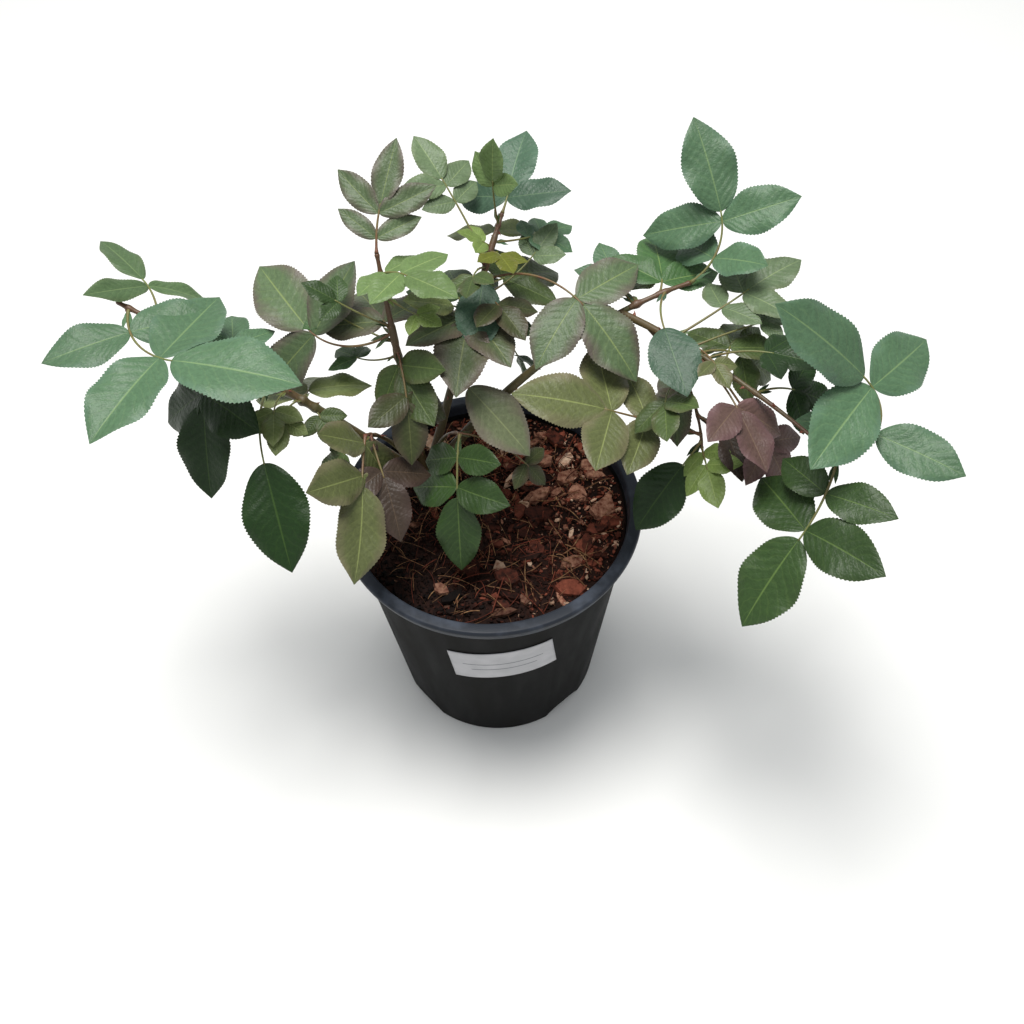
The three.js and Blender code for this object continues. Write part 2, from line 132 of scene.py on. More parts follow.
def newMaterial(name, roughness, **sockets):
    # a principled surface with its constant values set on its own sockets
    material = bpy.data.materials.new(name)
    material.use_nodes = True
    tree = material.node_tree
    shader = tree.nodes["Principled BSDF"]
    shader.inputs["Roughness"].default_value = roughness
    for socket, value in sockets.items():
        shader.inputs[socket.replace("_", " ")].default_value = value
    return material, tree, shader


def meshPiece(name, vertices, triangles, materials, slots=None, uv=None, shade=None, smooth=True):
    # one mesh from whole arrays: vertices in millimetres, triangles of vertex numbers, a slot for each
    mesh = bpy.data.meshes.new(name)
    count = len(triangles)
    mesh.vertices.add(len(vertices))
    mesh.vertices.foreach_set("co", (np.asarray(vertices) * mm).astype(np.float32).ravel())
    mesh.loops.add(3 * count)
    mesh.loops.foreach_set("vertex_index", np.asarray(triangles).astype(np.int32).ravel())
    mesh.polygons.add(count)
    mesh.polygons.foreach_set("loop_start", np.arange(0, 3 * count, 3, dtype=np.int32))
    mesh.polygons.foreach_set("use_smooth", np.full(count, smooth))
    for material in materials:
        mesh.materials.append(material)
    if slots is not None:
        mesh.polygons.foreach_set("material_index", np.asarray(slots).astype(np.int32))
    if uv is not None:
        corners = np.asarray(uv)[np.asarray(triangles).ravel()]
        mesh.uv_layers.new(name="leafUV").data.foreach_set("uv", corners.astype(np.float32).ravel())
    if shade is not None:
        own = mesh.attributes.new("ownShade", "FLOAT", "POINT")
        own.data.foreach_set("value", np.asarray(shade).astype(np.float32))
    mesh.update(calc_edges=True)
    mesh.validate()
    piece = bpy.data.objects.new(name, mesh)
    bpy.context.scene.collection.objects.link(piece)
    return piece


def settle(piece, slot, *nodes):
    # the piece rides with the plant and stands for its nodes
    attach(piece, "root")
    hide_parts(*nodes)


class Heap:
    # gathers small shapes into one mesh
    def __init__(self):
        self.vertices, self.triangles, self.slots, self.uv, self.shade = [], [], [], [], []
        self.count = 0

    def add(self, vertices, triangles, slots=0, uv=None, shade=0.0):
        self.vertices.append(vertices)
        self.triangles.append(triangles + self.count)
        self.slots.append(np.broadcast_to(slots, len(triangles)))
        self.uv.append(np.zeros((len(vertices), 2)) if uv is None else uv)
        self.shade.append(np.broadcast_to(shade, len(vertices)))
        self.count += len(vertices)

    def piece(self, name, materials, smooth=True):
        lists = (self.vertices, self.triangles, self.slots, self.uv, self.shade)
        vertices, triangles, slots, uv, shade = (np.concatenate(rows) for rows in lists)
        print("  ", name, len(triangles), "triangles")
        return meshPiece(name, vertices, triangles, materials, slots, uv, shade, smooth)


stage = dict(
    floor="#e9e9e7", floorSize=8.0, floorDrop=0.2, skyColour=(0.94, 0.97, 1.0, 1), sky=0.58,
    key=52.0, keyColour=(1.0, 0.985, 0.96), keySize=1.1, keyPlace=(-0.15, 0.2, 2.25), keyAim=(0, 0, 0.25),
)


def makeStage(s):
    # a plain pale floor, an even sky and one wide soft light overhead
    paper = newMaterial("matte paper floor", 0.95, Specular_IOR_Level=0.1, Base_Color=linear(s["floor"]))[0]
    half = s["floorSize"] / 2 / mm
    corners = [[x * half, y * half, -s["floorDrop"]] for x, y in ((-1, -1), (1, -1), (1, 1), (-1, 1))]
    floor = meshPiece("floor", corners, np.array([[0, 1, 2], [0, 2, 3]]), [paper], smooth=False)
    world = bpy.data.worlds.new("even sky")
    world.use_nodes = True
    world.node_tree.nodes["Background"].inputs[0].default_value = s["skyColour"]
    world.node_tree.nodes["Background"].inputs[1].default_value = s["sky"]
    bpy.context.scene.world = world
    data = bpy.data.lights.new("key", "AREA")
    data.shape = "DISK"
    data.size = s["keySize"]
    data.energy = s["key"]
    data.color = s["keyColour"]
    key = bpy.data.objects.new("key", data)
    z = np.array(s["keyPlace"]) - np.array(s["keyAim"])
    z = z / np.linalg.norm(z)
    x = np.cross([0, 1, 0], z)
    x = x / np.linalg.norm(x)
    aim = Matrix(np.column_stack([x, np.cross(z, x), z]).tolist())
    key.matrix_world = Matrix.Translation(s["keyPlace"]) @ aim.to_4x4()
    bpy.context.scene.collection.objects.link(key)


makeStage(stage)
print("camera, floor and light made")


# ---- seeded chance and small geometry
def chance(a, b):
    # a repeatable share from 0 to 1 for each pair of numbers
    wave = np.sin(np.asarray(a) * 12.9898 + np.asarray(b) * 78.233) * 43758.5453
    return wave - np.floor(wave)


def vary(a, b, most):
    return (2 * chance(a, b) - 1) * most


def anyTurn(a, b):
    return 6.28 * chance(a, b)


def unit(v):
    return v / np.linalg.norm(v, axis=-1, keepdims=True)


def turnAbout(v, axis, angle):
    # v turned about a unit axis: v cos + (axis x v) sin + axis (axis . v)(1 - cos)
    c, s = np.cos(angle), np.sin(angle)
    return v * c + np.cross(axis, v) * s + axis * np.sum(axis * v, -1, keepdims=True) * (1 - c)


def quads(p, q, r, s):
    # two triangles for each square with the corners p, q, r, s
    return np.concatenate([np.stack([p, q, r], -1).reshape(-1, 3), np.stack([p, r, s], -1).reshape(-1, 3)])


def ringTriangles(rows, around):
    # squares between rings of points, and a fan at each end to one of the two points after them
    i, j = np.meshgrid(np.arange(rows - 1), np.arange(around), indexing="ij")
    n = (j + 1) % around
    wall = quads(i * around + j, i * around + n, (i + 1) * around + n, (i + 1) * around + j)
    j, n, last = j[0], n[0], (rows - 1) * around
    foot, tip = np.full(around, rows * around), np.full(around, rows * around + 1)
    return np.concatenate([wall, np.stack([foot, n, j], -1), np.stack([tip, last + j, last + n], -1)])


def tube(points, side, face, radii, around, flat=1.0):
    # rings p + r (cos a side + flat sin a face), closed by a point at each end
    a = 2 * np.pi * np.arange(around) / around
    radii = np.asarray(radii)
    if radii.ndim == 1:
        radii = np.repeat(radii[:, None], around, axis=1)
    across = np.cos(a)[None, :, None] * side[:, None] + flat * np.sin(a)[None, :, None] * face[:, None]
    rings = points[:, None] + radii[:, :, None] * across
    return np.concatenate([rings.reshape(-1, 3), points[:1], points[-1:]]), ringTriangles(len(points), around)


def turned(profile, around):
    # a profile of (radius, height) turned about Z, its two ends closed on the axis
    a = 2 * np.pi * np.arange(around) / around
    inner = profile[1:-1]
    radius, height = inner[:, :1], np.repeat(inner[:, 1:], around, axis=1)
    rings = np.stack([radius * np.cos(a), radius * np.sin(a), height], -1).reshape(-1, 3)
    ends = np.array([[0, 0, profile[0][1]], [0, 0, profile[-1][1]]])
    return np.concatenate([rings, ends]), ringTriangles(len(inner), around)


def roundedProfile(corners, cut, steps=4):
    # each corner of a polyline becomes a short quadratic arc that starts and ends `cut` away from it,
    # or a little under half of a shorter side
    points = [np.array(corners[0], float)]
    for before, here, after in zip(corners, corners[1:], corners[2:]):
        before, here, after = (np.array(p, float) for p in (before, here, after))
        reach = min(cut, 0.45 * np.linalg.norm(here - before), 0.45 * np.linalg.norm(after - here))
        a, b = here + unit(before - here) * reach, here + unit(after - here) * reach
        for t in np.linspace(0, 1, steps + 1):
            points.append((1 - t) ** 2 * a + 2 * t * (1 - t) * here + t * t * b)
    return np.array(points + [np.array(corners[-1], float)])


# ---- the pot
pot = dict(
    height=183, baseRadius=73, wallTopRadius=92, wall=1.8, floor=2.5, edge=1.5, around=192, rounding=1.3,
    rimRadius=100, rimFootRadius=97.5, rimInnerRadius=91, rimHeight=10, rimStep=0.2, rimFall=2.2, rimFlat=1,
    rimLine=1.5, sharpFrom=40,
    drainCount=4, drainFirst=-50, drainRadius=18, drainHeight=12, drainDepth=11, drainAround=64,
    wallLook=dict(body="#171717", wornAndSheen="#201f1d", gloss=0.52, wornAndSheenShare=0.55, shine=0.03),
    # the rim's lighter, bluer colours: painted sky reflection on the top of the pot, over real scuffs in
    # streaks
    rimLook=dict(body="#282c33", wornAndSheen="#444a55", gloss=0.4, wornAndSheenShare=0.9, shine=0.12),
)


def wallRadius(z):
    spread, rise = pot["wallTopRadius"] - pot["baseRadius"], pot["height"] - pot["rimHeight"]
    return pot["baseRadius"] + spread * z / rise


def plasticMaterial(name, body, wornAndSheen, gloss, wornAndSheenShare, shine):
    # injection-moulded polypropylene: black with a soft satin, fine pitting, dusty and scuffed in streaks. On
    # the rim
    # the colours are lighter and bluer: painted sky reflection. Scuffs come in as the streak noise, four
    # times as long as wide, goes from 0.48 to 0.72
    material, tree, shader = newMaterial(name, gloss, Specular_IOR_Level=shine)
    place = objectPlace(tree)
    long = addNode(tree, "ShaderNodeMapping", {0: place, 3: (1, 1, 0.25)}).outputs[0]
    streaks = noise(tree, long, 55.0, 6.0)
    colour = blend(tree, ranged(tree, streaks, 0.48, 0.72, 0.0, wornAndSheenShare), linear(body), linear(wornAndSheen))
    rough = ranged(tree, streaks, 0.35, 0.7, gloss - 0.06, gloss + 0.1)
    tree.links.new(rough, shader.inputs["Roughness"])
    paint(tree, shader, colour, noise(tree, place, 1400.0, 2.0), 0.18, 0.0004)
    return material


def makePot(p):
    top, rimFoot = p["height"], p["height"] - p["rimHeight"]
    corners = [
        (0, 0), (p["baseRadius"] - p["edge"], 0), (wallRadius(p["edge"]), p["edge"]),
        (p["wallTopRadius"], rimFoot), (p["rimFootRadius"], rimFoot + p["rimStep"]),
        (p["rimRadius"], top - p["rimFall"]), (p["rimRadius"] - p["rimFlat"], top),
        (p["rimInnerRadius"] + p["rimFlat"], top), (p["rimInnerRadius"], top - p["rimFall"]),
        (p["wallTopRadius"] - p["wall"], rimFoot), (wallRadius(p["floor"]) - p["wall"], p["floor"]),
        (0, p["floor"]),
    ]
    vertices, triangles = turned(roundedProfile(corners, p["rounding"]), p["around"])
    heights = vertices[triangles][:, :, 2].mean(1)
    # faces above the rim line take the rim's colours, with their painted sky reflection
    slots = (heights > rimFoot + p["rimLine"]).astype(int)
    wall = plasticMaterial("moulded black polypropylene", **p["wallLook"])
    rim = plasticMaterial("polypropylene rim with painted sky reflection", **p["rimLook"])
    body = meshPiece("nursery_pot", vertices, triangles, [wall, rim], slots)
    heap = Heap()
    for i in range(p["drainCount"]):
        a = math.radians(p["drainFirst"] + i * 360 / p["drainCount"])
        out, across = np.array([math.cos(a), math.sin(a), 0]), np.array([-math.sin(a), math.cos(a), 0])
        reach = np.array([-p["drainDepth"], p["drainDepth"]])
        middle = p["baseRadius"] * out + np.array([0, 0, p["drainHeight"] - p["drainRadius"]])
        line = middle + reach[:, None] * out
        side, face = np.tile(across, (2, 1)), np.tile([0.0, 0, 1], (2, 1))
        heap.add(*tube(line, side, face, [p["drainRadius"]] * 2, p["drainAround"]))
    cutter = heap.piece("drain_cutter", [wall], smooth=False)
    cut = body.modifiers.new("drains", "BOOLEAN")
    cut.operation = "DIFFERENCE"
    cut.object = cutter
    cut.solver = "EXACT"
    seen = body.evaluated_get(bpy.context.evaluated_depsgraph_get())
    body.data = bpy.data.meshes.new_from_object(seen)
    body.modifiers.clear()
    bpy.data.objects.remove(cutter)
    body.data.name = "nursery_pot"
    body.data.set_sharp_from_angle(angle=math.radians(p["sharpFrom"]))
    settle(body, "pot_plastic", "pot")


makePot(pot)

# ---- the sticker: bare white paper with two plain ruled lines
label = dict(
    width=70, height=38, lift=0.35, thickness=0.3, turn=-87, middle=122, tilt=6, ripple=0.08,
    lines=((1.5, 2.6), (-6.2, -5.1)), lineHalf=(27, 22), rowReach=17, rows=9, columns=41, slack=1e-6,
    paper="#b4b3b6", scuffed="#929395", ink="#6d6f73",
)


def makeLabel(s):
    # a tilted rectangle bent round the wall: turn = x / radius, with the radius that the wall has there,
    # and a ripple that goes by cos(u/9) cos(v/7)
    wide, high, slack = s["width"] / 2, s["height"] / 2, s["slack"]
    edges = [y for line in s["lines"] for y in line]
    ends = [hand * half for half in s["lineHalf"] for hand in (1, -1)]
    rows = np.array(sorted({-high, high, *np.linspace(-s["rowReach"], s["rowReach"], s["rows"]), *edges}))
    columns = np.array(sorted({*np.linspace(-wide, wide, s["columns"]), *ends}))
    y, x = np.meshgrid(rows, columns, indexing="ij")
    tilt = math.radians(s["tilt"])
    u, v = x * math.cos(tilt) - y * math.sin(tilt), x * math.sin(tilt) + y * math.cos(tilt)
    z = s["middle"] + v
    radius = wallRadius(z) + s["lift"] + s["ripple"] * np.cos(u / 9) * np.cos(v / 7)
    turn = math.radians(s["turn"]) + u / wallRadius(z)
    vertices = np.stack([radius * np.cos(turn), radius * np.sin(turn), z], -1).reshape(-1, 3)
    across = len(columns)
    i, j = np.meshgrid(np.arange(len(rows) - 1), np.arange(across - 1), indexing="ij")
    slots = np.zeros(i.shape, int)
    for (low, top), half in zip(s["lines"], s["lineHalf"]):
        inBand = (rows[i] >= low - slack) & (rows[i + 1] <= top + slack)
        slots[inBand & (columns[j] >= -half - slack) & (columns[j + 1] <= half + slack)] = 1
    corner, above = i * across + j, (i + 1) * across + j
    triangles = quads(corner, corner + 1, above + 1, above)
    # matt paper, scuffed greyer where the noise goes from 0.35 to 0.75
    paper, tree, shader = newMaterial("matt sticker paper", 0.55, Specular_IOR_Level=0.35)
    scuff = ranged(tree, noise(tree, objectPlace(tree), 90.0, 5.0), 0.35, 0.75, 0.0, 0.5)
    tree.links.new(blend(tree, scuff, linear(s["paper"]), linear(s["scuffed"])), shader.inputs["Base Color"])
    ink = newMaterial("printed grey rule", 0.6, Base_Color=linear(s["ink"]))[0]
    sheet = meshPiece("sticker", vertices, triangles, [paper, ink], np.concatenate([slots.ravel()] * 2))
    wall = sheet.modifiers.new("paper", "SOLIDIFY")
    wall.thickness = s["thickness"] * mm
    wall.offset = 1
    settle(sheet, "label_paper", "label")


makeLabel(label)
print("pot and sticker made")

# ---- the growing mix: bark crumbs over a bumpy bed, flat bark chips and coir fibres
mix = dict(
    top=171, bottom=2.9, gap=0.4, bump=1.98, edgeFall=1, around=180, rings=44, innermost=2, seed=21,
    crumbs=dict(count=5400, low=1.3, high=5.0, margin=1.5, flat=0.55, lean=0.5, sink=0.35,
                shares=(5.2, 4.2, 1.3, 0.5, 0.2)),
    chips=dict(count=340, low=5.0, high=25.0, margin=3, flat=0.26, lean=0.28, sink=0.5,
               shares=(3, 4, 2.4, 1.1, 0.45)),
    fibres=dict(count=540, low=7, high=34, margin=8, room=4, points=9, around=4, shares=(4, 2, 2)),
    # the last two set painted light and shade on the mix: paler kinds and lighter tones to the right and back
    room=1.5, corners=6, damp=1.7, paintedLightTone=2.1,
    bed="#120906", earth="#27140e", rind="#4a241a", rust="#713c2d", tan="#8a6552", pale="#b39a84",
    straw="#91704f", coir="#6b3526",
)
graft = dict(
    x=-42, y=22, height=24, footRadius=11, neckRadius=7.5, knobRadius=9, neckFrom=4, neckTo=9, knobAt=17,
    lift=0.3, rounding=2.5, steps=6, around=64, grain=1.6, wood="#5a4634", dark="#2e231b",
)


def bumpAt(x, y):
    # bump (sin(x/8 + 1) cos(y/10) + 0.6 sin((x + 2y)/9)), nothing near the graft
    height = mix["bump"] * (np.sin(x / 8 + 1) * np.cos(y / 10) + 0.6 * np.sin((x + 2 * y) / 9))
    near = np.hypot(x - graft["x"], y - graft["y"]) < 3 * graft["footRadius"]
    return np.where(near, 0, height)


def barkMaterial(name, body, dark, grainWidth=1.2):
    # weathered bark: dull, with dark grain lines a millimetre or so apart. Dark goes over to body as the
    # grain noise goes from 0.35 to 0.65, and each piece is lighter or darker by its own shade
    material, tree, shader = newMaterial(name, 0.85, Specular_IOR_Level=0.15)
    grain = noise(tree, objectPlace(tree), 1 / mm / (3 * grainWidth), 5.0, Roughness=0.65)
    colour = blend(tree, ranged(tree, grain, 0.35, 0.65, 0.0, 1.0), linear(dark), linear(body))
    paint(tree, shader, ownTone(tree, colour, 0.35), grain, 0.7, 0.0006)
    return material


def makeMix(m):
    rng = np.random.default_rng(m["seed"])
    innerRadius = wallRadius(m["top"]) - pot["wall"] - m["gap"]
    footRadius = wallRadius(m["bottom"]) - pot["wall"] - m["gap"]
    side = [(0, m["bottom"]), (footRadius, m["bottom"]), (innerRadius, m["top"] - m["edgeFall"])]
    surface = [(r, m["top"]) for r in np.linspace(innerRadius, m["innermost"], m["rings"])]
    vertices, triangles = turned(np.array([*side, *surface, (0, m["top"])]), m["around"])
    # the top is raised by the bump + 0.9 sin(1.1 x + 2 sin 0.7 y) sin 1.3 y + 0.6 sin(2.3 x + 1.9 y) - 1.2
    x, y = vertices[:, 0], vertices[:, 1]
    rough = 0.9 * np.sin(x * 1.1 + 2 * np.sin(y * 0.7)) * np.sin(y * 1.3) + 0.6 * np.sin(x * 2.3 + y * 1.9)
    vertices[:, 2] += np.where(vertices[:, 2] > m["top"] - 0.5, bumpAt(x, y) + rough - 1.2, 0)
    bark = barkMaterial("damp composted bark", m["earth"], m["bed"])
    settle(meshPiece("mix_bed", vertices, triangles, [bark]), "growing_mix", "growing_mix")

    darker = dict(earth="bed", rind="bed", rust="rind", tan="rind", pale="tan")
    tones = [barkMaterial("bark fines " + tone, m[tone], m[dark]) for tone, dark in darker.items()]

    def paintedLightAt(x, y):
        # (x + 0.7 y + 15) / radius: painted light and shade on the mix, darker pieces at the front left,
        # paler and lighter ones at the right and back
        return (x + 0.7 * y + 15) / innerRadius

    def scatter(count, most, room):
        # places spread evenly over the bed by area, clear of the graft
        turn = 2 * np.pi * rng.random(count)
        radius = most * np.sqrt(rng.random(count))
        x, y = radius * np.cos(turn), radius * np.sin(turn)
        off = np.hypot(x - graft["x"], y - graft["y"])
        clear = graft["footRadius"] + room
        push = clear / np.maximum(off, 1e-3)
        x = np.where(off < clear, graft["x"] + (x - graft["x"]) * push, x)
        y = np.where(off < clear, graft["y"] + (y - graft["y"]) * push, y)
        return x, y

    def lieDown(local, x, y, z, lean):
        # turns each piece about Z by chance, then tips it a little, and lays it at its place
        count = len(x)
        spin = 2 * np.pi * rng.random(count)
        tipX, tipY = lean * (2 * rng.random((2, count)) - 1)
        c, s = np.cos(spin)[:, None], np.sin(spin)[:, None]
        px = local[..., 0] * c - local[..., 1] * s
        py = local[..., 0] * s + local[..., 1] * c
        pz = local[..., 2] + px * tipY[:, None] + py * tipX[:, None]
        return np.stack([px + x[:, None], py + y[:, None], pz + z[:, None]], -1)

    def flakes(name, count, low, high, margin, flat, lean, sink, shares):
        # flat prisms of six uneven corners: length from low to high, most of them short, width 0.26 to 0.68
        # of it, thickness flat of the width, curled up or down along their length
        sides = m["corners"]
        size = low * (high / low) ** (rng.random(count) ** 1.7)
        wide = size * (0.26 + 0.42 * rng.random(count))
        thick = np.clip(wide * flat, 0.5, 3.6)
        a = 2 * np.pi * (np.arange(sides) + 0.35 * (rng.random((count, sides)) - 0.5)) / sides
        reach = 0.75 + 0.35 * rng.random((count, sides))
        px = 0.5 * size[:, None] * reach * np.cos(a)
        py = 0.5 * wide[:, None] * reach * np.sin(a)
        curl = 0.06 * px * np.abs(px) / np.maximum(size[:, None], 1)
        jitter = 0.25 * thick[:, None] * (rng.random((count, sides)) - 0.5)
        upper = np.stack([px * 0.9, py * 0.9, curl + thick[:, None] / 2 + jitter], -1)
        lower = np.stack([px, py, curl - thick[:, None] / 2 + jitter], -1)
        x, y = scatter(count, innerRadius - margin, m["room"])
        pull = np.minimum(1, (innerRadius - 1) / (np.hypot(x, y) + size / 2))
        x, y = x * pull, y * pull
        z = m["top"] + bumpAt(x, y) - 0.6 + sink * thick
        vertices = lieDown(np.concatenate([lower, upper], axis=1), x, y, z, lean)
        one = []
        for k in range(sides):
            n = (k + 1) % sides
            one += [(k, n, sides + n), (k, sides + n, sides + k)]
        one += [(sides, sides + k, sides + 1 + k) for k in range(1, sides - 1)]
        one += [(0, k + 1, k) for k in range(1, sides - 1)]
        triangles = (np.array(one)[None] + 2 * sides * np.arange(count)[:, None, None]).reshape(-1, 3)
        paintedLightHere = paintedLightAt(x, y)
        # the kind is drawn by chance, leaning to paler kinds at the right and back and darker at the front
        # left: painted light and shade
        rank = rng.random(count) ** np.exp(-m["damp"] * paintedLightHere) * sum(shares)
        kind = np.searchsorted(np.cumsum(shares), rank)
        # own tone: chance, plus painted light at the right and back and painted shade at the front left
        own = 2 * rng.random(count) - 1 + m["paintedLightTone"] * paintedLightHere
        heap = Heap()
        slots, shades = np.repeat(kind, len(one)), np.repeat(own, 2 * sides)
        heap.add(vertices.reshape(-1, 3), triangles, slots, None, shades)
        settle(heap.piece(name, tones, smooth=False), "growing_mix", "growing_mix")

    flakes("bark_crumbs", **m["crumbs"])
    flakes("bark_chips", **m["chips"])

    # fibres: arcs that bow sideways and rise a little at the middle
    f = m["fibres"]
    heap, count, many = Heap(), f["count"], f["points"]
    x, y = scatter(count, innerRadius - f["margin"], f["room"])
    long = f["low"] * (f["high"] / f["low"]) ** (rng.random(count) ** 1.4)
    spin = 2 * np.pi * rng.random(count)
    bow = 0.45 * (2 * rng.random(count) - 1)
    rise = 0.8 + 2.6 * rng.random(count)
    thick = 0.16 + 0.3 * rng.random(count) ** 2
    kinds = np.searchsorted(np.cumsum(f["shares"]), rng.random(count) * sum(f["shares"]))
    # own tone: chance, plus the same painted light and shade as the bark
    shades = 2 * rng.random(count) - 1 + paintedLightAt(x, y)
    t = np.linspace(-0.5, 0.5, many)
    for k in range(count):
        along = np.array([math.cos(spin[k]), math.sin(spin[k]), 0])
        across = np.array([-along[1], along[0], 0])
        bowed = bow[k] * (0.25 - t[:, None] ** 2) * across
        path = np.array([x[k], y[k], 0]) + long[k] * (t[:, None] * along + bowed)
        reach = np.hypot(path[:, 0], path[:, 1]).max()
        path[:, :2] *= min(1, (innerRadius - 1) / reach)
        path[:, 2] = m["top"] + bumpAt(path[:, 0], path[:, 1]) + rise[k] * (0.6 + np.cos(2.6 * t)) - 0.4
        side, face = np.tile(across, (many, 1)), np.tile([0.0, 0, 1], (many, 1))
        heap.add(*tube(path, side, face, np.full(many, thick[k]), f["around"]), kinds[k], None, shades[k])
    pairs = dict(straw=("straw", "rind"), rust=("coir", "rind"), dark=("rind", "bed"))
    strands = [barkMaterial("coir " + name, m[tone], m[dark]) for name, (tone, dark) in pairs.items()]
    settle(heap.piece("coir_fibres", strands), "growing_mix", "growing_mix")


makeMix(mix)
print("growing mix made")

